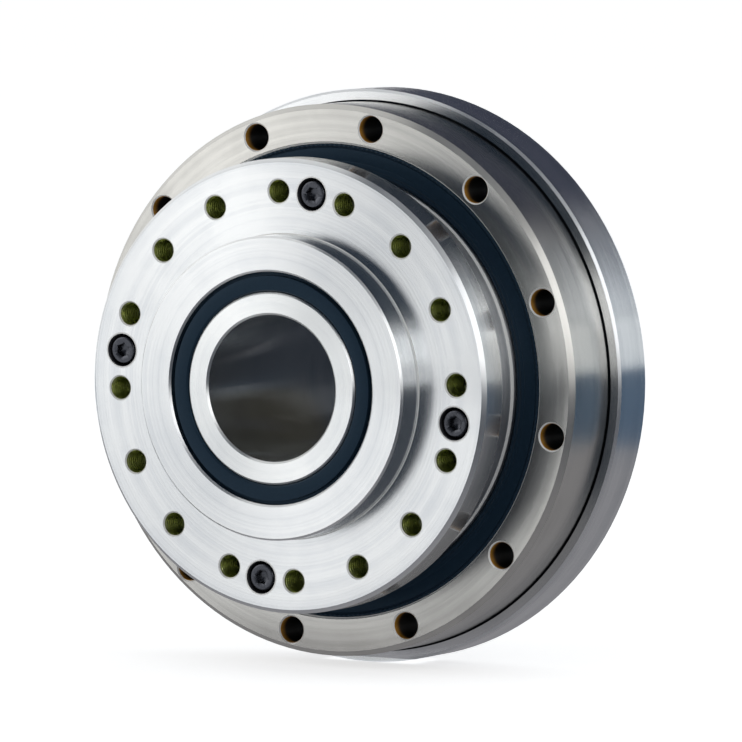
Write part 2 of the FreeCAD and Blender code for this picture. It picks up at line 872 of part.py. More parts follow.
def make_input_shaft():
    """Hollow shaft with the oval cam turned on its middle."""
    body = turned(
        (bore_radius + edge, shaft_front),
        (shaft_end_radius - edge, shaft_front),
        (shaft_end_radius, shaft_front + edge),
        (shaft_end_radius, front_bearing_front - edge / 2),
        (support_bore_radius - edge / 2, front_bearing_front),
        (support_bore_radius, front_bearing_front + edge / 2),
        (support_bore_radius, front_bearing_rear),
        (shoulder_radius, front_bearing_rear),
        (shoulder_radius, cam_front),
        (support_bore_radius, cam_front),
        (support_bore_radius, wave_rear),
        (shoulder_radius, wave_rear),
        (shoulder_radius, rear_bearing_front),
        (support_bore_radius, rear_bearing_front),
        (support_bore_radius, rear_bearing_rear - edge / 2),
        (support_bore_radius - edge / 2, rear_bearing_rear),
        (shaft_end_radius, rear_bearing_rear + edge / 2),
        (shaft_end_radius, shaft_rear - edge),
        (shaft_end_radius - edge, shaft_rear),
        (bore_radius + edge, shaft_rear),
        (bore_radius, shaft_rear - edge),
        (bore_radius, shaft_front + edge),
    )
    core = bar(shaft_end_radius, cam_front - overrun, wave_rear + overrun)
    cam = oval_bar(cam_radius, cam_front, wave_rear).cut(core)
    collar = cam_radius + cam_shoulder_height
    shoulder = turned(
        (shaft_end_radius, wave_rear),
        (collar, wave_rear),
        (collar, wave_rear + cam_shoulder_width - edge),
        (collar - edge, wave_rear + cam_shoulder_width),
        (shaft_end_radius, wave_rear + cam_shoulder_width),
    )
    groove = turned(
        (retaining_groove_radius, retaining_groove_front),
        (collar, retaining_groove_front),
        (collar, wave_front),
        (retaining_groove_radius, wave_front),
    )
    hole = bar(input_hole_radius, shaft_rear - input_hole_depth, shaft_rear + overrun, input_circle)
    lip = mouth(input_hole_radius, shaft_rear, -1, input_circle)
    cuts = [
        groove,
        around(hole, input_holes, input_hole_angle),
        around(lip, input_holes, input_hole_angle),
    ]
    return body.fuse([cam, shoulder]).removeSplitter().cut(cuts)


def make_retaining_ring():
    """External ring that keeps the wave bearing on the cam."""
    inner = retaining_groove_radius + fit_gap
    outer = inner + retaining_ring_height
    front = wave_front - circlip_thickness
    rear = wave_front - fit_gap
    ring = turned((inner, front), (outer, front), (outer, rear), (inner, rear))
    corner = FreeCAD.Vector(-retaining_ring_slot / 2, front - overrun, 0)
    slot = Part.makeBox(retaining_ring_slot, circlip_thickness + 2 * overrun, outer + overrun, corner)
    slot.rotate(ORIGIN, AXIS, cam_angle + 90)
    return ring.cut(slot)


def make_wave_outer_ring():
    """Thin outer ring of the wave bearing, bent to the oval."""
    land = wave_ball_radius + wave_groove_radius - wave_land_height
    reach = math.sqrt(wave_groove_radius ** 2 - (land - wave_ball_radius) ** 2)
    return oval_swept(
        wave_ball_radius,
        (wave_outer_radius, wave_front),
        (wave_outer_radius, wave_rear),
        (land, wave_rear),
        (land, wave_middle + reach),
        (wave_ball_radius + wave_groove_radius, wave_middle, land, wave_middle - reach),
        (land, wave_front),
    )


def make_wave_inner_ring():
    """Inner ring of the wave bearing, pressed on the oval cam."""
    land = wave_ball_radius - wave_groove_radius + wave_land_height
    reach = math.sqrt(wave_groove_radius ** 2 - (land - wave_ball_radius) ** 2)
    bore = cam_radius + fit_gap
    return oval_swept(
        wave_ball_radius,
        (bore, wave_rear),
        (bore, wave_front),
        (land, wave_front),
        (land, wave_middle - reach),
        (wave_ball_radius - wave_groove_radius, wave_middle, land, wave_middle + reach),
        (land, wave_rear),
    )


def wave_ball_places():
    """Radius and angle of each ball of the wave bearing, evenly spaced along the flexed circle."""
    places = []
    for index in range(wave_ball_count):
        radius, polar, _ = flexed(wave_ball_radius, index * 360.0 / wave_ball_count)
        places.append((radius, polar))
    return places


def make_wave_balls():
    """Balls of the wave bearing."""
    balls = []
    for radius, polar in wave_ball_places():
        balls.append(Part.makeSphere(wave_ball_diameter / 2, at(radius, polar, wave_middle)))
    return Part.makeCompound(balls)


def make_wave_cage():
    """Flexible cage of the wave bearing, with a round pocket for each ball."""
    wall = wave_cage_wall / 2
    pocket_radius = wave_ball_diameter / 2 + pocket_gap
    inside = oval_bar(wave_ball_radius - wall, wave_front, wave_rear)
    outside = oval_bar(wave_ball_radius + wall, wave_front + wave_cage_recess, wave_rear - wave_cage_recess)
    pockets = []
    for radius, polar in wave_ball_places():
        base = at(radius - wave_cage_wall, polar, wave_middle)
        outwards = at(1, polar, 0)
        pockets.append(Part.makeCylinder(pocket_radius, 2 * wave_cage_wall, base, outwards))
    return outside.cut(inside).cut(pockets)


def roller(side, radius, length):
    """Roller whose axis leans 45 degrees, to the front or to the rear."""
    lean = FreeCAD.Vector(0, side, 1)
    lean.normalize()
    base = at(roller_circle, 0, roller_plane) - lean * (length / 2)
    return Part.makeCylinder(radius, length, base, lean)


def make_crossed_rollers():
    """Rollers that lean to the front and to the rear by turns."""
    radius = roller_radius - roller_gap
    length = roller_diameter - 2 * roller_end_gap
    first = around(roller(1, radius, length), roller_count // 2)
    second = around(roller(-1, radius, length), roller_count // 2, 360.0 / roller_count)
    return Part.makeCompound(first.Solids + second.Solids)


def make_roller_spacers():
    """Saddles between neighbouring rollers, hollowed on both sides."""
    pitch_angle = 360.0 / roller_count
    half = roller_radius - roller_end_gap - spacer_lip
    hollow = roller_radius + spacer_gap
    spacers = []
    for lean in (1, -1):
        before = roller(lean, hollow, 2 * roller_diameter)
        after = roller(-lean, hollow, 2 * roller_diameter)
        after.rotate(ORIGIN, AXIS, pitch_angle)
        middle = at(roller_circle, pitch_angle / 2, roller_plane)
        along = at(1, pitch_angle / 2 + 90, 0)
        body = Part.makeCylinder(half, spacer_length, middle - along * (spacer_length / 2), along)
        spacer = body.cut([before, after])
        if lean == -1:
            spacer.rotate(ORIGIN, AXIS, pitch_angle)
        spacers.extend(around(spacer, roller_count // 2).Solids)
    return Part.makeCompound(spacers)


outer_blank = outer_ring_blank()
nodes = {
    "bearing_outer_ring": outer_blank.cut(loading_hole(plug_radius + fit_gap)),
    "roller_plug": outer_blank.common(loading_hole(plug_radius)),
    "plug_pin": plug_pin_shape(plug_pin_radius, ring_width - fit_gap),
    "main_seal": make_main_seal(),
    "flexspline": make_flexspline(),
    "housing_oring": make_oring(cover_front, -1),
    "cover_oring": make_oring(brim_rear, 1),
    "rear_cover": make_rear_cover(),
    "cover_screws": cap_screws(
        cover_rear - screw_head_sink, cover_screw_length, -1,
        housing_circle, cover_screw_count, cover_screw_angle,
    ),
    "rear_bearing_outer_ring": make_support_outer_ring(rear_bearing_middle),
    "rear_bearing_shields": make_shields(rear_bearing_middle),
    "rear_bearing_circlip": make_circlip(
        rear_bearing_front - circlip_thickness, rear_bearing_front - fit_gap
    ),
    "rear_oil_seal": make_oil_seal(cover_rear, -1),
    "output_flange": make_output_flange(),
    "flange_screws": cap_screws(
        flange_face + screw_head_sink, flange_screw_length, 1,
        output_circle, flange_screw_count, flange_screw_angle,
    ),
    "circular_spline": make_circular_spline(),
    "spline_screws": cap_screws(
        spline_front + screw_head_sink, spline_screw_length, 1,
        spline_screw_circle, spline_screw_count, spline_screw_angle,
    ),
    "bearing_inner_ring": make_bearing_inner_ring(),
    "front_oil_seal": make_oil_seal(shaft_front, 1),
    "front_bearing_outer_ring": make_support_outer_ring(front_bearing_middle),
    "front_bearing_shields": make_shields(front_bearing_middle),
    "front_bearing_circlip": make_circlip(
        front_bearing_rear + fit_gap, front_bearing_rear + circlip_thickness
    ),
    "input_shaft": make_input_shaft(),
    "wave_inner_ring": make_wave_inner_ring(),
    "wave_balls": make_wave_balls(),
    "wave_cage": make_wave_cage(),
    "wave_outer_ring": make_wave_outer_ring(),
    "wave_retaining_ring": make_retaining_ring(),
    "front_bearing_inner_ring": make_support_inner_ring(front_bearing_middle),
    "rear_bearing_inner_ring": make_support_inner_ring(rear_bearing_middle),
    "front_bearing_balls": make_support_balls(front_bearing_middle),
    "front_bearing_cage": make_support_cage(front_bearing_middle),
    "rear_bearing_balls": make_support_balls(rear_bearing_middle),
    "rear_bearing_cage": make_support_cage(rear_bearing_middle),
    "crossed_rollers": make_crossed_rollers(),
    "roller_spacers": make_roller_spacers(),
}

os.makedirs("parts", exist_ok=True)
for name, shape in nodes.items():
    solids = shape.Solids
    good = all(solid.isValid() for solid in solids)
    kept = solids[0] if len(solids) == 1 else Part.makeCompound(solids)
    kept.exportStep("parts/" + name + ".step")
    print(name, "solids", len(solids), "valid", good, "volume", round(sum(s.Volume for s in solids), 2))
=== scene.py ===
# %% [markdown]
# # A hollow strain wave gear in turned steel
# The CAD model already holds every piece of this gear at its real size. This lesson dresses it:
# it gives each piece the finish of its real surface, adds the threads, the rounded rubber and the
# knurled screws that are too fine for the CAD model, and sets up the light and the camera.
# The first cell loads the pieces. They are in metres, the axis of rotation is Y, the output side
# looks towards -Y, and angles run clockwise from +Z as seen from there.

# %% Load the gear
import json
import math

import bmesh
import bpy
import numpy as np
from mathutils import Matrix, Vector


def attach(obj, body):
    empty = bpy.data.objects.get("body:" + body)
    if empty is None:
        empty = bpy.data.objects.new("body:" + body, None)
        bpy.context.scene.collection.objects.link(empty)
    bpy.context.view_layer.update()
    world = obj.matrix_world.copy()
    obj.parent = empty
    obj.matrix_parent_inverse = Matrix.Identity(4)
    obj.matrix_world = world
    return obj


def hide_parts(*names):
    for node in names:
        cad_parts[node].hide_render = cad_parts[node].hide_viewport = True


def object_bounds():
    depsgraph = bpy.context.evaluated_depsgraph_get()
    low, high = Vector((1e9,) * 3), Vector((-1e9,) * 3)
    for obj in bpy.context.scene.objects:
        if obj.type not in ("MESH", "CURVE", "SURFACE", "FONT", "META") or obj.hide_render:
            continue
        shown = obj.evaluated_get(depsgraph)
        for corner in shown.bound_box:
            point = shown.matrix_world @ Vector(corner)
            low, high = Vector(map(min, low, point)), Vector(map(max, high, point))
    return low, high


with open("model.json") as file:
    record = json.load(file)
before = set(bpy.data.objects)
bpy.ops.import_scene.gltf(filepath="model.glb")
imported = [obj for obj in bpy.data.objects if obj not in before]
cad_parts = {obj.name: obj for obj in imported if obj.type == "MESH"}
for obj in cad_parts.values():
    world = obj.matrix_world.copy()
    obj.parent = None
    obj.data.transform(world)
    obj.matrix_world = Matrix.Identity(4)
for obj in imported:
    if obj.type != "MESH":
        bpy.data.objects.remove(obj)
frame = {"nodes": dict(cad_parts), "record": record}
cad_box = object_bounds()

MM = 0.001
print("pieces from the CAD model:", len(frame["nodes"]))

# %% [markdown]
# ## Colours and nodes
# Colours are written as the hex values that a paint program shows, which are not linear.
# A renderer adds up light, so one function turns each value to linear light first.
# Every finish below is a small network of nodes. One helper adds a node, sets it and links it,
# which keeps each network short enough to read from top to bottom.

# %% Helpers for every finish
def linear(hex_colour):
    """Linear red, green, blue and alpha of an sRGB hex colour."""
    values = np.array([int(hex_colour[place:place + 2], 16) for place in (1, 3, 5)]) / 255
    bent = np.where(values <= 0.04045, values / 12.92, ((values + 0.055) / 1.055) ** 2.4)
    return (*bent, 1.0)


def add(tree, kind, settings=None, links=None, **fields):
    """Add a node. Fields are its own options, settings its inputs, links the sockets that feed it."""
    node = tree.nodes.new(kind)
    for name, value in fields.items():
        setattr(node, name, value)
    for name, value in (settings or {}).items():
        node.inputs[name].default_value = value
    for name, socket in (links or {}).items():
        tree.links.new(socket, node.inputs[name])
    return node


def new_material(name):
    """Empty material and its node tree."""
    material = bpy.data.materials.new(name)
    material.use_nodes = True
    material.node_tree.nodes.clear()
    return material, material.node_tree


print("the grey #808080 is", round(float(linear("#808080")[0]), 3), "of white in linear light")

# %% [markdown]
# ## Places on a turned surface
# Every steel surface here was cut or ground on a lathe, so its marks run round the axis.
# A mark is drawn by its distance from the axis, its place along the axis and its angle.
# These come from the object's own coordinates, so the marks turn with the piece.

# %% Radius, place along the axis and angle of a surface point
def turned_places(tree):
    """Sockets for the point, the radius and the place along the axis in millimetres, and the angle.

    The radius is the root of x squared plus z squared. The angle is the arc tangent of x over z.
    """
    place = add(tree, "ShaderNodeTexCoord")
    in_mm = add(tree, "ShaderNodeVectorMath", {"Scale": 1 / MM},
                {"Vector": place.outputs["Object"]}, operation="SCALE")
    parts = add(tree, "ShaderNodeSeparateXYZ", links={"Vector": in_mm.outputs["Vector"]})
    flat = add(tree, "ShaderNodeVectorMath", {1: (1, 0, 1)}, {0: in_mm.outputs["Vector"]},
               operation="MULTIPLY")
    radius = add(tree, "ShaderNodeVectorMath", links={0: flat.outputs["Vector"]}, operation="LENGTH")
    angle = add(tree, "ShaderNodeMath", links={0: parts.outputs["X"], 1: parts.outputs["Z"]},
                operation="ARCTAN2")
    return {
        "point": in_mm.outputs["Vector"],
        "radius": radius.outputs["Value"],
        "along": parts.outputs["Y"],
        "angle": angle.outputs["Value"],
    }


def lathe_direction(tree):
    """Direction in which the tool ran: the axis crossed with the point, turned to world space."""
    place = add(tree, "ShaderNodeTexCoord")
    around = add(tree, "ShaderNodeVectorMath", {0: (0, 1, 0)}, {1: place.outputs["Object"]},
                 operation="CROSS_PRODUCT")
    unit = add(tree, "ShaderNodeVectorMath", links={0: around.outputs["Vector"]}, operation="NORMALIZE")
    world = add(tree, "ShaderNodeVectorTransform", links={"Vector": unit.outputs["Vector"]},
                vector_type="VECTOR", convert_from="OBJECT", convert_to="WORLD")
    return world.outputs["Vector"]


# %% [markdown]
# ## The tones of lathe marks
# A facing or turning tool leaves a fine spiral of grooves, about 0.05 mm apart, which is far too
# fine to see. What the eye does see are rings where the feed or the tool varied. They are drawn
# as noise over one length, about ten times as wide as a real groove, so that they show. A noise
# in space with patches about 17 mm wide breaks the rings up, as handling and wiping do.

# %% Rings and patches
# Rings are 1.6 times as wide along a cylinder as across a face. Scales are noise per millimetre.
LENGTH_SHARE = 0.62
BROAD_RINGS = {"Scale": 0.5, "Detail": 4.0, "Roughness": 0.7}
FINE_RINGS = {"Detail": 2.0, "Roughness": 0.7}
PATCHES = {"Scale": 0.06, "Detail": 5.0, "Roughness": 0.6}
# The sums of both noises up to which the dark tone holds, and from which the light one does, and
# how much of the rings goes into the sum.
DARK_TONE, LIGHT_TONE = 0.65, 1.0
RING_SHARE = 0.8


def lathe_marks(tree, places, light, dark, marks):
    """Colour of turned steel, and the fine rings and the patches that its gloss follows as well.

    The rings are noise over the radius plus a share of the length, so that faces and cylinders
    both get them. The tone is a share of the broad rings plus the patches. Marks are rings per mm.
    """
    across = add(tree, "ShaderNodeMath", {1: LENGTH_SHARE}, {0: places["along"], 2: places["radius"]},
                 operation="MULTIPLY_ADD")
    broad = add(tree, "ShaderNodeTexNoise", BROAD_RINGS, {"W": across.outputs[0]}, noise_dimensions="1D")
    fine = add(tree, "ShaderNodeTexNoise", {"Scale": marks, **FINE_RINGS}, {"W": across.outputs[0]},
               noise_dimensions="1D")
    patch = add(tree, "ShaderNodeTexNoise", PATCHES, {"Vector": places["point"]})
    tone = add(tree, "ShaderNodeMath", {1: RING_SHARE},
               {0: broad.outputs["Fac"], 2: patch.outputs["Fac"]}, operation="MULTIPLY_ADD")
    colour = add(tree, "ShaderNodeValToRGB", links={"Fac": tone.outputs[0]})
    stops = ((DARK_TONE, dark), (LIGHT_TONE, light))
    for element, (position, hex_colour) in zip(colour.color_ramp.elements, stops):
        element.position = position
        element.color = linear(hex_colour)
    return colour.outputs["Color"], fine.outputs["Fac"], patch.outputs["Fac"]


print("broad rings are", 1 / BROAD_RINGS["Scale"], "mm wide, patches", round(1 / PATCHES["Scale"]), "mm")

# %% [markdown]
# ## Oil and painted shade in the holes, painted highlights on their rims
# A hole that was drilled and oiled takes a yellow tone, and a painted shade darkens it with
# depth. Its rim, a small chamfer, carries a painted highlight: it is painted nearly white and
# made less metallic, so that it stays light from every side.
# The holes lie on circles at even angles, so one fold of the angle brings all of them onto the
# first, and the distance from its middle tells wall, rim and face apart.

# %% Masks and colours of holes
# In millimetres: the width of a rim, how far a wall's mask reaches past the hole's radius, and
# the depths between which a painted shade turns the wall's colour to nearly black.
HOLE_RIM = 0.31
WALL_MARGIN = 0.03
SHADE_FROM, SHADE_TO = 0.3, 2.6
# The rim's painted highlight is nearly white, and the painted shade deep in a hole nearly black.
RIM_PAINTED_HIGHLIGHT, DEEP_PAINTED_SHADE = "#F2F2F0", "#15130F"


def near_hole(tree, places, hole, reach):
    """1 within reach of the middle of any hole of a circle, else 0. Lengths are in millimetres.

    The angle less the first hole's is wrapped to half a step each way. In that frame the point
    lies at radius times sine sideways and radius times cosine less the circle outwards.
    """
    half_step = math.pi / hole["count"]
    turned = add(tree, "ShaderNodeMath", {1: math.radians(hole["first"])}, {0: places["angle"]},
                 operation="SUBTRACT")
    folded = add(tree, "ShaderNodeMath", {1: half_step, 2: -half_step}, {0: turned.outputs[0]},
                 operation="WRAP")
    sine = add(tree, "ShaderNodeMath", links={0: folded.outputs[0]}, operation="SINE")
    cosine = add(tree, "ShaderNodeMath", links={0: folded.outputs[0]}, operation="COSINE")
    sideways = add(tree, "ShaderNodeMath", links={0: sine.outputs[0], 1: places["radius"]},
                   operation="MULTIPLY")
    outwards = add(tree, "ShaderNodeMath", {2: -hole["circle"]},
                   {0: cosine.outputs[0], 1: places["radius"]}, operation="MULTIPLY_ADD")
    offset = add(tree, "ShaderNodeCombineXYZ", links={"X": sideways.outputs[0], "Y": outwards.outputs[0]})
    distance = add(tree, "ShaderNodeVectorMath", links={0: offset.outputs[0]}, operation="LENGTH")
    inside = add(tree, "ShaderNodeMath", {1: reach}, {0: distance.outputs["Value"]},
                 operation="LESS_THAN")
    return inside.outputs[0]


def oiled_holes_painted_light(tree, places, base, hole):
    """Colour with painted highlights on the rims and painted shade deep in the oily walls, and the rims'
    mask.
    """
    rim = near_hole(tree, places, hole, hole["radius"] + HOLE_RIM)
    inside = near_hole(tree, places, hole, hole["radius"] + WALL_MARGIN)
    # Painted shade: the wall's colour darkens to nearly black with depth.
    depth = add(tree, "ShaderNodeMapRange",
                {"From Min": hole["mouth"] + SHADE_FROM, "From Max": hole["mouth"] + SHADE_TO},
                {"Value": places["along"]}, interpolation_type="SMOOTHSTEP")
    oil_and_shade = add(tree, "ShaderNodeMix", {"A": linear(hole["wall"]), "B": linear(DEEP_PAINTED_SHADE)},
              {0: depth.outputs["Result"]}, data_type="RGBA")
    # Painted highlight: the rim is painted nearly white.
    rimmed = add(tree, "ShaderNodeMix", {"B": linear(RIM_PAINTED_HIGHLIGHT)}, {0: rim, "A": base}, data_type="RGBA")
    walled = add(tree, "ShaderNodeMix", links={0: inside, "A": rimmed.outputs[2], "B": oil_and_shade.outputs[2]},
                 data_type="RGBA")
    return walled.outputs[2], rim


# %% The three circles of oiled holes
# The first hole's angle is in degrees, all lengths are in millimetres: the radius of the circle,
# the radius of a hole and the place of its mouth along the axis. The oil on the walls is amber in
# the housing holes and olive in the output holes. The counterbores' walls are painted dark grey,
# a painted shade round the black screws.
housing_holes = {"count": 12, "first": 10.3, "circle": 51.0, "radius": 2.65, "mouth": 0.0,
                 "wall": "#C08A2C"}
output_holes = {"count": 16, "first": 19.95, "circle": 38.5, "radius": 2.25, "mouth": -17.3,
                "wall": "#6C6A1E"}
counterbores = {"count": 4, "first": 8.7, "circle": 38.5, "radius": 3.25, "mouth": -17.3,
                "wall": "#3A3B40"}
print("holes with oily walls:", housing_holes["count"] + output_holes["count"] + counterbores["count"])

# %% [markdown]
# ## Painted highlights on edges and painted shade in a joint
# A thin line along an edge is painted nearly white and made less metallic, a painted highlight
# that stays light all round. The joint between ring and cover is the opposite: it is painted black,
# as the shade in the gap between them. Both are bands of the radius or of the place along the axis.

# %% Lines round the axis
# From where to where the joint runs along the axis, in millimetres.
JOINT = (14.2, 14.75)
# Colours of the painted highlight on edges and of the painted shade in the joint.
EDGE_PAINTED_HIGHLIGHT, JOINT_PAINTED_SHADE = "#FAFAF8", "#14161A"


def painted_edge_highlight(tree, places, base, edge):
    """Colour with a painted highlight, a light line where the named place lies between two values, and
    its mask.
    """
    which, low, high = edge
    line = add(tree, "ShaderNodeMath", {1: (low + high) / 2, 2: (high - low) / 2}, {0: places[which]},
               operation="COMPARE")
    lit = add(tree, "ShaderNodeMix", {"B": linear(EDGE_PAINTED_HIGHLIGHT)}, {0: line.outputs[0], "A": base},
              data_type="RGBA")
    return lit.outputs[2], line.outputs[0]


def painted_joint_shade(tree, places, base, largest):
    """Colour with painted shade, black in the joint inside the largest radius that it reaches, and its
    mask.
    """
    low, high = JOINT
    groove = add(tree, "ShaderNodeMath", {1: (low + high) / 2, 2: (high - low) / 2},
                 {0: places["along"]}, operation="COMPARE")
    within = add(tree, "ShaderNodeMath", {1: largest}, {0: places["radius"]}, operation="LESS_THAN")
    joint_shade = add(tree, "ShaderNodeMath", links={0: groove.outputs[0], 1: within.outputs[0]},
               operation="MULTIPLY")
    shaded_joint = add(tree, "ShaderNodeMix", {"B": linear(JOINT_PAINTED_SHADE)}, {0: joint_shade.outputs[0], "A": base},
                data_type="RGBA")
    return shaded_joint.outputs[2], joint_shade.outputs[0]


print("the dirty joint is", round(JOINT[1] - JOINT[0], 2), "mm wide")

# %% [markdown]
# ## Turned steel
# The grooves are too fine to see one by one, but together they stretch every highlight across
# them, which gives the fans of light on a faced disc. The shader's anisotropy does that: its
# tangent runs along the groove, and a quarter turn of the highlight lays it across. Outside
# diameters and faces are turned finer than chamfers, so the roughness depends on where a surface
# faces.

# %% Gloss by the way a surface faces
WALL_GLOSS, CHAMFER_GLOSS, FACE_GLOSS = 0.36, 0.62, 0.37
FACING_GLOSS = ((0.0, WALL_GLOSS), (0.3, WALL_GLOSS), (0.6, CHAMFER_GLOSS), (0.8, CHAMFER_GLOSS),
                (0.97, FACE_GLOSS), (1.0, FACE_GLOSS))


def facing_gloss(tree):
    """Share of the roughness, over how much the normal points along the axis.

    That is 0 on a cylinder, about 0.7 on a chamfer and 1 on a face.
    """
    facing = add(tree, "ShaderNodeTexCoord")
    normal = add(tree, "ShaderNodeSeparateXYZ", links={"Vector": facing.outputs["Normal"]})
    along_axis = add(tree, "ShaderNodeMath", links={0: normal.outputs["Y"]}, operation="ABSOLUTE")
    share = add(tree, "ShaderNodeFloatCurve", links={"Value": along_axis.outputs[0]})
    points = share.mapping.curves[0].points
    for place, (facing_axis, factor) in enumerate(FACING_GLOSS):
        point = points[place] if place < 2 else points.new(facing_axis, factor)
        point.location = (facing_axis, factor)
        point.handle_type = "VECTOR"
    share.mapping.update()
    return share.outputs["Value"]


print("a chamfer is", round(CHAMFER_GLOSS / WALL_GLOSS, 2), "times as rough as an outside diameter")

# %% Steel cut on the lathe
# What a rim, an edge or the joint adds to the roughness where light or shade is painted, and
# what the painted highlights of the first two take from the metallic value.
MATT_ROUGHNESS = 0.35
HIGHLIGHT_METAL_LOSS = 0.6
# The roughness of a clean and of a smudged place, as multiples of the finish's own, and the sums
# of fine rings and half the patches that stand for them.
CLEAN, SMUDGED = 1.7, 2.4
CLEAN_SUM, SMUDGED_SUM = 0.4, 1.1


def turned_steel(name, light, dark, roughness, stretch, mark_height, marks=2.2, holes=(), edges=(),
                 joint_shade_radius=None):
    """Steel with lathe marks: two tones, a gloss that varies with them and a fine bump.

    Rims of holes and edges carry painted highlights: a light colour, and they are rougher and less
    metallic, so that they stay light from every side. The joint, where the piece has one, carries
    painted shade and is rougher only. Stretch, from 0 to 1, is how far a highlight is drawn out
    across the grooves. Marks are rings per millimetre, and their height is in millimetres.
    """
    material, tree = new_material(name)
    places = turned_places(tree)
    base, fine, patch = lathe_marks(tree, places, light, dark, marks)
    painted_light_masks = []
    # Hole rims and edges get painted highlights, and the joint below gets painted shade.
    for hole in holes:
        base, mask = oiled_holes_painted_light(tree, places, base, hole)
        painted_light_masks.append(mask)
    for edge in edges:
        base, mask = painted_edge_highlight(tree, places, base, edge)
        painted_light_masks.append(mask)
    metallic = None
    for mask in painted_light_masks:
        metallic = add(tree, "ShaderNodeMath", {1: -HIGHLIGHT_METAL_LOSS, 2: 1.0},
                       {0: mask, 2: metallic.outputs[0]} if metallic else {0: mask},
                       operation="MULTIPLY_ADD")
    if joint_shade_radius:
        base, mask = painted_joint_shade(tree, places, base, joint_shade_radius)
        painted_light_masks.append(mask)
    smudge = add(tree, "ShaderNodeMath", {1: 0.5}, {0: patch, 2: fine}, operation="MULTIPLY_ADD")
    varied = add(tree, "ShaderNodeMapRange",
                 {"From Min": CLEAN_SUM, "From Max": SMUDGED_SUM,
                  "To Min": roughness * CLEAN, "To Max": roughness * SMUDGED},
                 {"Value": smudge.outputs[0]})
    gloss = add(tree, "ShaderNodeMath", links={0: varied.outputs["Result"], 1: facing_gloss(tree)},
                operation="MULTIPLY")
    for mask in painted_light_masks:
        gloss = add(tree, "ShaderNodeMath", {1: MATT_ROUGHNESS}, {0: mask, 2: gloss.outputs[0]},
                    operation="MULTIPLY_ADD")
    bump = add(tree, "ShaderNodeBump", {"Strength": 1.0, "Distance": mark_height * MM}, {"Height": fine})
    steel = add(tree, "ShaderNodeBsdfPrincipled",
                {"Metallic": 1.0, "Anisotropic": stretch, "Anisotropic Rotation": 0.25},
                {"Base Color": base, "Roughness": gloss.outputs[0], "Normal": bump.outputs["Normal"],
                 "Tangent": lathe_direction(tree)})
    if metallic:
        tree.links.new(metallic.outputs[0], steel.inputs["Metallic"])
    add(tree, "ShaderNodeOutputMaterial", links={"Surface": steel.outputs["BSDF"]})
    print(name, "has", len(tree.nodes), "nodes")
    return material


# %% [markdown]
# ## Rubber, black oxide and polyamide
# These have no lathe marks. Their skin is a fine mottle from the mould, the oxide bath or the
# phosphate bath, so one noise darkens the colour, varies the gloss and raises a low bump.

# %% Skins with a mottle
# The noise turns the roughness by up to a fifth each way, and its bump is held back a little.
GLOSSIEST, ROUGHEST = 0.8, 1.2
BUMP_STRENGTH = 0.6


def mottled(name, hex_colour, metallic, roughness, mottle, grain, height, sheen=0.5, tint="#FFFFFF"):
    """Finish with a mottled tone. Grain is the noise per millimetre, height its bump in millimetres.

    Mottle is the share by which the noise can lighten or darken the colour. Sheen is the strength
    of the reflection off a skin that isn't metal, and tint its colour.
    """
    material, tree = new_material(name)
    places = turned_places(tree)
    noise = add(tree, "ShaderNodeTexNoise", {"Scale": grain, "Detail": 5.0, "Roughness": 0.6},
                {"Vector": places["point"]})
    shade = add(tree, "ShaderNodeMapRange", {"To Min": 1 - mottle, "To Max": 1 + mottle},
                {"Value": noise.outputs["Fac"]})
    colour = add(tree, "ShaderNodeMix", {0: 1.0, "A": linear(hex_colour)}, {"B": shade.outputs["Result"]},
                 data_type="RGBA", blend_type="MULTIPLY")
    gloss = add(tree, "ShaderNodeMapRange",
                {"To Min": roughness * GLOSSIEST, "To Max": roughness * ROUGHEST},
                {"Value": noise.outputs["Fac"]})
    bump = add(tree, "ShaderNodeBump", {"Strength": BUMP_STRENGTH, "Distance": height * MM},
               {"Height": noise.outputs["Fac"]})
    skin = add(tree, "ShaderNodeBsdfPrincipled",
               {"Metallic": metallic, "Specular IOR Level": sheen, "Specular Tint": linear(tint)},
               {"Base Color": colour.outputs[2], "Roughness": gloss.outputs["Result"],
                "Normal": bump.outputs["Normal"]})
    add(tree, "ShaderNodeOutputMaterial", links={"Surface": skin.outputs["BSDF"]})
    print(name, "has", len(tree.nodes), "nodes")
    return material


# %% [markdown]
# ## The finishes of this gear
# Each finish starts from its real material and how its surface was made, with typical values for
# it, and was then matched to the photograph. Most pieces share one of ten finishes. The ring,
# the flange and the cover get their own, because their holes, edges and joint lie where no other
# piece has them.

# %% Steels and brass
turned_finishes = {
    # Hardened steel, turned and polished: bright, with long fans of light and fine, flat marks.
    "polished_steel": turned_steel("polished_steel", "#E2E4E4", "#D2D5D7", 0.25, 0.88, 0.0006, 3.0),
    # Hardened steel, hard turned: duller and greyer, so that the neck stays quiet behind the flange,
    # with a painted highlight line round it from -0.9 to 0.4 mm along the axis.
    "hardened_spline_steel": turned_steel("hardened_spline_steel", "#D6D9DC", "#C0C4C8", 0.5, 0.92,
                                          0.001, edges=(("along", -0.9, 0.4),)),
    # Spring steel, ground and tempered: warm grey with short highlights.
    "flexspline_steel": turned_steel("flexspline_steel", "#C6C5C0", "#A9A8A4", 0.3, 0.5, 0.001),
    # Bearing steel, ground and honed: close to a mirror, with hardly any direction.
    "bearing_steel": turned_steel("bearing_steel", "#DCDEE0", "#C4C6C8", 0.14, 0.2, 0.0004, 3.0),
    # Sheet steel, pressed: soft even gloss.
    "pressed_shield_steel": turned_steel("pressed_shield_steel", "#CCCCCA", "#B4B4B2", 0.3, 0.3, 0.001),
    # Brass, turned and bored: yellow with soft rings.
    "machined_brass_cage": turned_steel("machined_brass_cage", "#D6B068", "#B9934C", 0.3, 0.5, 0.001),
}

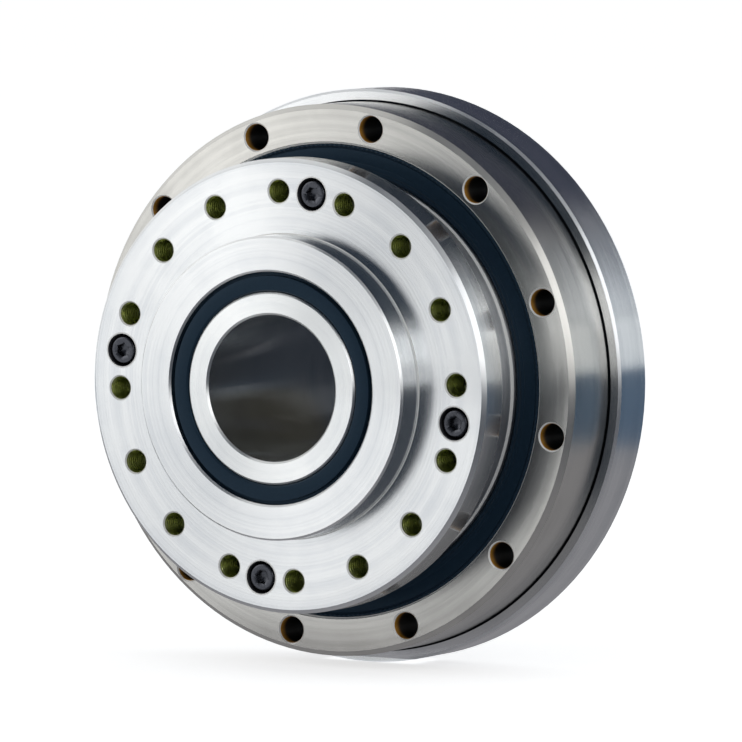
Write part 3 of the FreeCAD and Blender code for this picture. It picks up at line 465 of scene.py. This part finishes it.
# %% Rubber, oxide, phosphate and polyamide
# The real grain, under 0.05 mm, is too fine to see. It is drawn at 0.3 to 0.8 mm so that it shows.
mottled_finishes = {
    # Nitrile rubber, moulded: blue-black, with the dull bluish sheen of its oily skin.
    "nitrile_rubber": mottled("nitrile_rubber", "#172735", 0.0, 0.38, 0.25, 1.6, 0.01, 0.28, "#A8C8E4"),
    # Black oxide on alloy steel: a thin dark skin that still shines like metal.
    "black_oxide_screw_steel": mottled("black_oxide_screw_steel", "#484A50", 0.9, 0.27, 0.3, 2.5, 0.006),
    # Phosphate on spring steel: dark grey and matt from its crystals.
    "phosphated_spring_steel": mottled("phosphated_spring_steel", "#34353A", 0.7, 0.5, 0.3, 3.0, 0.01),
    # Polyamide, moulded: cream and waxy.
    "cage_polyamide": mottled("cage_polyamide", "#D8CDB0", 0.0, 0.5, 0.12, 1.2, 0.01),
}

# %% Ring, flange and cover
own_finishes = {
    # Steel, ground: quiet warm grey, painted highlight round its bore's edge, painted shade in the joint.
    "bearing_outer_ring": turned_steel("ground_ring_steel", "#CBCAC6", "#B9B8B4", 0.27, 0.8, 0.0008,
                                       holes=(housing_holes,), edges=(("radius", 47.1, 47.45),),
                                       joint_shade_radius=56.0),
    # Free-cutting steel, turned: bright and neutral, with long fans of light on its faces, and a
    # painted highlight line round the foot of the boss.
    "output_flange": turned_steel("turned_flange_steel", "#E0E2E3", "#D0D3D6", 0.25, 0.85, 0.0010,
                                  holes=(output_holes, counterbores),
                                  edges=(("radius", 30.02, 30.3),)),
    # The same steel, turned: the same fans, and painted shade, black, where the joint meets it.
    "rear_cover": turned_steel("turned_cover_steel", "#DCDEE0", "#CCCFD2", 0.25, 0.85, 0.0010,
                               joint_shade_radius=55.35),
}

# %% Give every CAD piece its finish
finishes = {**turned_finishes, **mottled_finishes}
for part in frame["record"]["subparts"]:
    name = part["node"]
    finish = own_finishes[name] if name in own_finishes else finishes[part["material_slot"]]
    frame["nodes"][name].data.materials.clear()
    frame["nodes"][name].data.materials.append(finish)
print("shared finishes:", len(finishes), "and of single pieces:", len(own_finishes))

# %% [markdown]
# ## Surfaces from a grid
# The new pieces are all grids bent into shape: a profile turned round an axis, or a sleeve whose
# radius changes with place and angle. numpy works out every point at once, and the grid's own
# order gives the faces. Where a profile reaches the axis, its row of points falls together, and
# merging them closes the pole.

# %% From a grid of points to a mesh
# Points closer than this, in metres, are one. Edges sharper than this angle don't shade smoothly.
MERGE_DISTANCE = 1e-7
SHARP_EDGE = math.radians(32)


def grid_mesh(name, points):
    """Closed mesh from copies of a grid: points is copies x rows x columns x 3, in millimetres.

    Both the rows and the columns join up with their first. Where the volume inside comes out
    negative, the faces look inwards and their corners are taken in the other order.
    """
    copies, rows, columns, _ = points.shape
    row, column = np.meshgrid(np.arange(rows), np.arange(columns), indexing="ij")
    next_row, next_column = (row + 1) % rows, (column + 1) % columns
    corners = np.stack([row * columns + column, row * columns + next_column,
                        next_row * columns + next_column, next_row * columns + column], -1).reshape(-1, 4)
    one = points[0].reshape(-1, 3)
    a, b, c, d = (one[corners[:, place]] for place in range(4))
    volume = np.einsum("ij,ij->", a, np.cross(b, c)) + np.einsum("ij,ij->", a, np.cross(c, d))
    if volume < 0:
        corners = corners[:, ::-1]
    faces = corners[None] + (np.arange(copies) * rows * columns)[:, None, None]
    mesh = bpy.data.meshes.new(name)
    mesh.vertices.add(copies * rows * columns)
    mesh.vertices.foreach_set("co", (points * MM).astype(np.float32).ravel())
    mesh.loops.add(faces.size)
    mesh.loops.foreach_set("vertex_index", faces.astype(np.int32).ravel())
    mesh.polygons.add(faces.size // 4)
    mesh.polygons.foreach_set("loop_start", np.arange(0, faces.size, 4, dtype=np.int32))
    mesh.update(calc_edges=True)
    work = bmesh.new()
    work.from_mesh(mesh)
    bmesh.ops.remove_doubles(work, verts=work.verts, dist=MERGE_DISTANCE)
    bmesh.ops.dissolve_degenerate(work, edges=work.edges, dist=MERGE_DISTANCE)
    work.to_mesh(mesh)
    work.free()
    mesh.polygons.foreach_set("use_smooth", np.ones(len(mesh.polygons), bool))
    mesh.set_sharp_from_angle(angle=SHARP_EDGE)
    return mesh


# %% Show a mesh, and copies of a piece on a circle
def new_piece(name, points, finish, body, replaced=()):
    """Show a grid of points as a piece that rides on a body and takes its finish from a slot."""
    mesh = grid_mesh(name, points)
    mesh.materials.append(finish)
    piece = bpy.data.objects.new(name, mesh)
    bpy.context.scene.collection.objects.link(piece)
    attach(piece, body)
    for node in replaced:
        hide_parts(node)
    print(name, "has", len(mesh.polygons), "faces")


def spread(piece, count, first, circle):
    """Copies of a piece on a circle round Y. The piece is rows x columns x 3 with x outwards.

    A copy at angle a puts x along (sin a, 0, cos a), z along (cos a, 0, -sin a), and keeps y.
    """
    angles = np.radians(first + 360 / count * np.arange(count))[:, None, None]
    out = circle + piece[..., 0]
    side = piece[..., 2]
    return np.stack([out * np.sin(angles) + side * np.cos(angles),
                     np.repeat(piece[None, ..., 1], count, 0),
                     out * np.cos(angles) - side * np.sin(angles)], -1)


# %% [markdown]
# ## Threads in the tapped holes
# The CAD holes are plain. The real ones are tapped, M5 in the output flange and M3 in the rear end
# of the shaft. A helix could be cut by a boolean, but a sleeve is simpler: its wall is a height
# field whose radius depends on both the place along the hole and the angle. It lies 0.005 mm
# inside the CAD hole, and its crests stand at the thread's minor diameter. Cutting oil has dried
# in the grooves, which gives the threads a dark yellow-green tone in large soft stains.

# %% Sleeves with a helical thread
# In millimetres: the gap between sleeve and CAD hole, and the sleeve's wall at the thread's root.
SLEEVE_GAP = 0.005
ROOT_WALL = 0.01


def thread_sleeve(hole, crest, pitch, start, end, rows_per_turn=8, columns=36):
    """Tapped sleeve round an axis along Y: rows x columns x 3.

    The depth follows a half plus 0.8 / 1.3 of a sine that climbs one pitch a turn. That goes past
    0 and 1, and is cut flat there, at root and crest, as a real thread is. It fades out over half
    a pitch at each end, where the chamfer cuts it.
    """
    outer = hole - SLEEVE_GAP
    rows = int(abs(end - start) / pitch * rows_per_turn)
    along = np.linspace(start, end, rows)[:, None]
    angle = np.linspace(0, 2 * np.pi, columns, endpoint=False)[None, :]
    wave = 0.5 + 0.8 * np.sin(2 * np.pi * along / pitch - angle) / 1.3
    fade = np.clip(np.minimum(abs(along - start), abs(end - along)) / (pitch / 2), 0, 1)
    inner = outer - (outer - crest) * np.clip(wave, 0, 1) * fade - ROOT_WALL
    radius = np.concatenate([inner, np.full((2, columns), outer)])
    place = np.concatenate([np.repeat(along, columns, 1), np.full((1, columns), end),
                            np.full((1, columns), start)])
    angle = np.repeat(angle, len(radius), 0)
    return np.stack([radius * np.cos(angle), place, radius * np.sin(angle)], -1)


# %% Threads of the output holes and of the shaft
# Lengths are in millimetres, and a first angle is in degrees.
oiled_thread_steel = mottled("oiled_thread_steel", "#B0B67E", 1.0, 0.26, 0.95, 0.7, 0.006)
output_thread = thread_sleeve(hole=2.25, crest=2.07, pitch=0.8, start=-17.0, end=-10.05)
output_circle = [output_holes[name] for name in ("count", "first", "circle")]
new_piece("output_threads", spread(output_thread, *output_circle), oiled_thread_steel,
          "output")
input_thread = thread_sleeve(hole=1.25, crest=1.16, pitch=0.5, start=31.7, end=26.1, columns=24)
input_circle = (6, 0.0, 16.75)
new_piece("input_threads", spread(input_thread, *input_circle), oiled_thread_steel,
          "input_shaft")

# %% [markdown]
# ## Moulded seals
# Rubber has no sharp corner: every edge of a moulded seal is rounded by the tool. Each seal is
# its real section, rounded at all corners, and turned once round the axis. The outer lip of the
# main seal has a row of small beads, which the photograph shows as a dotted line of light.

# %% Rounded sections turned round the axis
def rounded(section, radius, steps=4):
    """Closed section with each corner replaced by a curve: rows x 2.

    The curve leaves the corner by the radius, or by 0.45 of a shorter side, and is the parabola
    (1 - t) squared times the first point plus 2 t (1 - t) times the corner plus t squared times
    the last.
    """
    corner = np.array(section, float)
    before = np.roll(corner, 1, 0) - corner
    after = np.roll(corner, -1, 0) - corner
    length_before = np.linalg.norm(before, axis=1, keepdims=True)
    length_after = np.linalg.norm(after, axis=1, keepdims=True)
    first = corner + before / length_before * np.minimum(radius, 0.45 * length_before)
    last = corner + after / length_after * np.minimum(radius, 0.45 * length_after)
    t = np.linspace(0, 1, steps)[None, :, None]
    curve = (1 - t) ** 2 * first[:, None] + 2 * t * (1 - t) * corner[:, None] + t ** 2 * last[:, None]
    return curve.reshape(-1, 2)


def turned_ring(section, columns=240):
    """One grid of a section of radius and place along the axis, turned round Y."""
    angle = np.linspace(0, 2 * np.pi, columns, endpoint=False)[None, :]
    radius = section[:, :1]
    return np.stack([radius * np.sin(angle), np.broadcast_to(section[:, 1:], (len(section), columns)),
                     radius * np.cos(angle)], -1)[None]


print("a square's section has", len(rounded([(0, 0), (1, 0), (1, 1), (0, 1)], 0.1)), "rows once rounded")

# %% The main seal, with its beads
# The section holds radius and place along the axis, in millimetres.
rubber = finishes["nitrile_rubber"]
BEADS = 276
COLUMNS_PER_BEAD = 4
BEAD_HEIGHT = 0.18
main_seal_section = rounded(
    [(47.19, 0.5), (47.19, 2.99), (43.74, 2.99), (43.14, 1.7), (42.04, 1.8), (41.54, 2.1),
     (41.54, 1.3), (42.34, 0.5), (42.84, 0.5), (43.14, 0.3), (43.8, 0.3), (43.9, 0.38), (44.0, 0.3),
     (46.29, 0.3), (46.39, 0.5), (46.59, 0.5), (46.69, 0.2), (46.99, 0.2)], 0.1)
main_seal_points = turned_ring(main_seal_section, BEADS * COLUMNS_PER_BEAD)
bead_angles = np.linspace(0, BEADS * 2 * np.pi, BEADS * COLUMNS_PER_BEAD, endpoint=False)
outer_lip = (main_seal_section[:, 0] > 46.62) & (main_seal_section[:, 1] < 0.45)
main_seal_points[0, outer_lip, :, 1] -= BEAD_HEIGHT * (0.5 + 0.5 * np.cos(bead_angles))
new_piece("main_seal_rubber", main_seal_points, rubber, "housing", ["main_seal"])

# %% The two oil seals
def oil_seal(face, inward):
    """Shaft seal from its face: case with a step round it, sealing lip and dust lip."""
    shape = [(22.19, 0.0), (22.19, 1.2), (22.99, 1.2), (22.99, 4.5), (21.89, 4.5), (21.89, 2.2),
             (20.34, 2.2), (20.34, 3.6), (19.44, 3.65), (19.04, 3.2), (19.54, 1.85), (19.04, 0.5),
             (19.39, 0.0)]
    return turned_ring(rounded([(radius, face + inward * depth) for radius, depth in shape], 0.12))


new_piece("front_seal_rubber", oil_seal(-23.2, 1), rubber, "output", ["front_oil_seal"])
new_piece("rear_seal_rubber", oil_seal(26.0, -1), rubber, "housing", ["rear_oil_seal"])

# %% [markdown]
# ## Socket head cap screws
# An M3 cap screw is forged: its head has a rounded edge, a knurl of fine teeth round its side
# and a hexagon socket with a small countersink. The whole screw is one profile from tip to
# socket floor, turned round its axis. Rows of the profile that need it swap the circle for the
# knurl or the hexagon, which are radii that depend on the angle.

# %% One screw as a turned profile with knurl and socket rows
# In millimetres: half the width over the flats, and the depth of the knurl.
HALF_HEXAGON = 1.25
KNURL_DEPTH = 0.06


def cap_screw(head_face, inward, columns=144, teeth=36):
    """Grid of one M3 cap screw along Y: rows x columns x 3.

    Knurl: the radius drops by a triangle wave. Hexagon: the radius is half the width over the
    cosine of the angle within each sixth of a turn.
    """
    angle = np.linspace(0, 2 * np.pi, columns, endpoint=False)
    knurl = KNURL_DEPTH * abs((angle * teeth / (2 * np.pi)) % 1 * 2 - 1)
    hexagon = HALF_HEXAGON / np.cos((angle + np.pi / 6) % (np.pi / 3) - np.pi / 6)
    circle = np.ones(columns)
    rows = [(0 * circle, 15.0), (1.2 * circle, 15.0), (1.5 * circle, 14.7), (1.5 * circle, 3.3),
            (1.6 * circle, 3.08), (1.85 * circle, 3.0), (2.6 * circle, 3.0), (2.7 * circle, 2.9),
            (2.75 - knurl, 2.7), (2.75 - knurl, 0.5), (2.7 * circle, 0.32), (2.62 * circle, 0.14),
            (2.48 * circle, 0.03), (2.3 * circle, 0.0), (1.56 * circle, 0.0),
            (hexagon, 0.12), (hexagon, 0.2), (hexagon, 1.3),
            (0.94 * hexagon, 1.4), (0.5 * circle, 1.5), (0 * circle, 1.6)]
    radius = np.stack([row[0] for row in rows])
    place = np.array([head_face + inward * row[1] for row in rows])[:, None]
    return np.stack([radius * np.cos(angle), np.broadcast_to(place, radius.shape),
                     radius * np.sin(angle)], -1)


# %% Four screws in the flange and six in the cover
black = finishes["black_oxide_screw_steel"]
flange_screw_circle = [counterbores[name] for name in ("count", "first", "circle")]
new_piece("flange_cap_screws", spread(cap_screw(-17.0, 1), *flange_screw_circle), black,
          "output", ["flange_screws"])
cover_screw_circle = (6, 25.3, 51.0)
new_piece("cover_cap_screws", spread(cap_screw(25.7, -1), *cover_screw_circle), black,
          "housing", ["cover_screws"])

# %% [markdown]
# ## Floor and white surroundings
# The gear stands on a pale floor in a white room. Both show plain white to the camera and in
# reflections, and light the gear more softly than that, because steel would turn to glare.
# The floor adds this white to the light that it receives, so the gear's own shadow stays on it.

# %% White room
# The strength at which the room lights the gear. It shows at a strength of 1, which is white.
AMBIENT = 0.5


def seen(tree):
    """1 for camera, mirror and glass rays, which show the background, and 0 for other light."""
    path = add(tree, "ShaderNodeLightPath")
    direct = add(tree, "ShaderNodeMath",
                 links={0: path.outputs["Is Camera Ray"], 1: path.outputs["Is Glossy Ray"]},
                 operation="MAXIMUM")
    either = add(tree, "ShaderNodeMath",
                 links={0: direct.outputs[0], 1: path.outputs["Is Transmission Ray"]},
                 operation="MAXIMUM")
    return either.outputs[0]


world = bpy.data.worlds.new("studio")
world.use_nodes = True
room = world.node_tree
room.nodes.clear()
white = add(room, "ShaderNodeBackground", {"Color": (1, 1, 1, 1), "Strength": 1.0})
ambient = add(room, "ShaderNodeBackground", {"Color": linear("#EEF1F4"), "Strength": AMBIENT})
both = add(room, "ShaderNodeMixShader", links={0: seen(room), 1: ambient.outputs[0], 2: white.outputs[0]})
add(room, "ShaderNodeOutputWorld", links={"Surface": both.outputs[0]})
bpy.context.scene.world = world
print("the room lights the gear at", AMBIENT, "of what it shows")

# %% Pale floor
# The light that the floor adds to what it receives, and its reach to each side in metres.
FLOOR_GLOW = 0.62
FLOOR_REACH = 6


def staged(name, corners, material):
    """Rectangle of the studio, from its four corners in metres. It isn't part of the gear."""
    mesh = bpy.data.meshes.new(name)
    mesh.from_pydata(corners, [], [(0, 1, 2, 3)])
    mesh.materials.append(material)
    sheet = bpy.data.objects.new(name, mesh)
    bpy.context.scene.collection.objects.link(sheet)
    return sheet


def flat_corners(left, right, front, back, height):
    """Corners of a level rectangle, in metres."""
    return [(left, front, height), (right, front, height), (right, back, height), (left, back, height)]


floor_paper, floor_tree = new_material("floor_paper")
paper = add(floor_tree, "ShaderNodeBsdfDiffuse", {"Color": linear("#F2F2F2")})
strength = add(floor_tree, "ShaderNodeMath", {1: FLOOR_GLOW}, {0: seen(floor_tree)}, operation="MULTIPLY")
glow = add(floor_tree, "ShaderNodeEmission", {"Color": (1, 1, 1, 1)}, {"Strength": strength.outputs[0]})
summed = add(floor_tree, "ShaderNodeAddShader", links={0: paper.outputs[0], 1: glow.outputs[0]})
add(floor_tree, "ShaderNodeOutputMaterial", links={"Surface": summed.outputs[0]})
low = cad_box[0][2]
staged("floor", flat_corners(-FLOOR_REACH, FLOOR_REACH, -FLOOR_REACH, FLOOR_REACH, low), floor_paper)
print("the floor lies", round(low / MM, 1), "mm along Z")

# %% [markdown]
# ## Cards
# Polished steel shows what is round it, so a photographer shapes it with cards. Only reflections
# see the cards here. Two kinds stand round the gear: patches of a sphere, which the cylinders and
# faces mirror, and sheets on the floor, which their lower halves mirror.

# %% Cards that only reflections see
def glowing(name, hex_colour, strength=1.0):
    """Plain glow of one colour, for a card."""
    material, tree = new_material(name)
    light = add(tree, "ShaderNodeEmission", {"Color": linear(hex_colour), "Strength": strength})
    add(tree, "ShaderNodeOutputMaterial", links={"Surface": light.outputs[0]})
    return material


def only_reflected(card):
    """Hide a card from everything but reflections."""
    card.visible_camera = False
    card.visible_diffuse = False
    card.visible_shadow = False
    card.visible_transmission = False
    print(card.name, "shows in reflections only")


def sphere_card(name, hex_colour, turns, rises, radius, strength=1.0, steps=12):
    """Patch of a sphere round the gear. Turns run from +Y towards +X, rises up from the level.

    Both are in degrees, the radius in metres. A point at turn a and rise b is the radius times
    (sin a cos b, cos a cos b, sin b).
    """
    a, b = np.meshgrid(np.radians(np.linspace(*turns, steps)), np.radians(np.linspace(*rises, steps)),
                       indexing="ij")
    points = radius * np.stack([np.sin(a) * np.cos(b), np.cos(a) * np.cos(b), np.sin(b)], -1)
    row, column = np.meshgrid(np.arange(steps - 1), np.arange(steps - 1), indexing="ij")
    corner = (row * steps + column).ravel()
    faces = np.stack([corner, corner + 1, corner + steps + 1, corner + steps], -1)
    mesh = bpy.data.meshes.new(name)
    mesh.from_pydata(points.reshape(-1, 3).tolist(), [], faces.tolist())
    mesh.materials.append(glowing(name, hex_colour, strength))
    card = bpy.data.objects.new(name, mesh)
    bpy.context.scene.collection.objects.link(card)
    only_reflected(card)


# %% Seven cards round the gear
# Cylinders mirror what stands behind the gear: a dark top with one pale band at the upper right.
sphere_card("dark_card_behind", "#454855", (-33, 27), (8, 45), 1.6)
sphere_card("pale_card_behind", "#D4DBE0", (27, 48), (-1, 30), 1.65)
sphere_card("dark_card_above", "#2B3440", (-70, 95), (42, 89), 1.7)
# Faces mirror what stands in front at the left. A dark card beside it shades the upper right fans.
sphere_card("dark_card_in_front", "#2E3947", (158, 207), (0, 80), 2.3)
sphere_card("low_dark_strip", "#3A424C", (184, 205), (-4.6, -3.0), 0.7)
# The boss mirrors the flange, which mirrors the front at the right: a bright spot in the dark.
sphere_card("dark_card_at_right", "#2E3947", (132, 158), (24, 70), 2.4)
sphere_card("bright_card_in_front", "#FFFFFF", (144, 157), (7, 19), 2.2, 2.0)

# %% Cards on the floor and behind the bore
# In metres: how far cards lie above the floor, and half the width and the place of those behind.
CARD_HEIGHT = 0.001
BORE_CARD_SIDE, BORE_CARD_BACK = 0.0145, 0.034


def floor_card(name, hex_colour, left, right, front, back):
    """Rectangle just above the floor, from its sides in metres."""
    corners = flat_corners(left, right, front, back, low + CARD_HEIGHT)
    only_reflected(staged(name, corners, glowing(name, hex_colour)))


def bore_card(name, hex_colour, foot, top):
    """Upright rectangle close behind the bore, from its foot and top in metres."""
    left, right = -BORE_CARD_SIDE, BORE_CARD_SIDE
    corners = [(left, BORE_CARD_BACK, foot), (right, BORE_CARD_BACK, foot),
               (right, BORE_CARD_BACK, top), (left, BORE_CARD_BACK, top)]
    only_reflected(staged(name, corners, glowing(name, hex_colour)))


# The lower right of the cylinders mirrors the floor: blue-grey far off and at the front, and
# paler under the gear.
floor_card("blue_card_far_behind", "#56687C", -0.7, 2.4, 0.16, 5.0)
floor_card("grey_card_below", "#949396", -0.3, 0.4, -0.05, 0.16)
floor_card("blue_card_in_front", "#4C5159", -0.02, 1.6, -2.2, -0.05)
# The wall of the bore mirrors its far end, which is dark: bluish below and brownish above.
bore_card("card_behind_bore_low", "#30343B", -0.0145, 0.001)
bore_card("card_behind_bore_high", "#37352F", 0.001, 0.0145)

# %% [markdown]
# ## Lamps
# Three large soft lamps give the direction of the light: one in front at each side, and a weaker
# one behind at the right, which edges the cover.

# %% Three soft lamps
def soft_lamp(name, turn, rise, distance, width, height, power, hex_colour):
    """Rectangular lamp that looks at the gear, placed by its turn from +Y and its rise.

    Both are in degrees, lengths in metres and the power in watts.
    """
    data = bpy.data.lights.new(name, "AREA")
    data.shape = "RECTANGLE"
    data.size = width
    data.size_y = height
    data.energy = power
    data.color = linear(hex_colour)[:3]
    a, b = math.radians(turn), math.radians(rise)
    lamp = bpy.data.objects.new(name, data)
    lamp.location = distance * Vector((math.sin(a) * math.cos(b), math.cos(a) * math.cos(b), math.sin(b)))
    lamp.rotation_euler = (-lamp.location).to_track_quat("-Z", "Y").to_euler()
    bpy.context.scene.collection.objects.link(lamp)
    print(name, "gives", power, "W")


soft_lamp("left_lamp", 229, 18, 1.3, 0.8, 0.7, 2.2, "#FFFDF8")
soft_lamp("right_lamp", 122, 22, 1.3, 0.4, 0.8, 1.7, "#FFFFFF")
soft_lamp("rear_lamp", 43, 26, 1.6, 0.4, 0.8, 1.2, "#FAFCFF")

# %% [markdown]
# ## Camera
# The photograph looks from 30 degrees to the right and 4 degrees above the axis. It was taken
# from far away with a long lens, because its ellipses hardly change in width with depth.

# %% Camera
# The angles and the point that it looks at fit the photograph's ellipses. Lengths are in metres.
turn = math.radians(30.245)
rise = math.radians(4.307)
aim = Vector((0.0092612, 0.0, 0.0022932))
distance = 1.688
camera = bpy.data.objects.new("camera", bpy.data.cameras.new("camera"))
camera.location = aim + distance * Vector(
    (math.sin(turn) * math.cos(rise), -math.cos(turn) * math.cos(rise), math.sin(rise))
)
camera.rotation_euler = (aim - camera.location).to_track_quat("-Z", "Y").to_euler()
camera.data.lens = 413.34
camera.data.sensor_width = 36.0
camera.data.clip_end = 50.0
bpy.context.scene.collection.objects.link(camera)
bpy.context.scene.camera = camera
bpy.context.scene.view_settings.view_transform = "Standard"
seen_width = distance * camera.data.sensor_width / camera.data.lens
print("the picture is", round(seen_width / MM), "mm wide at the gear")
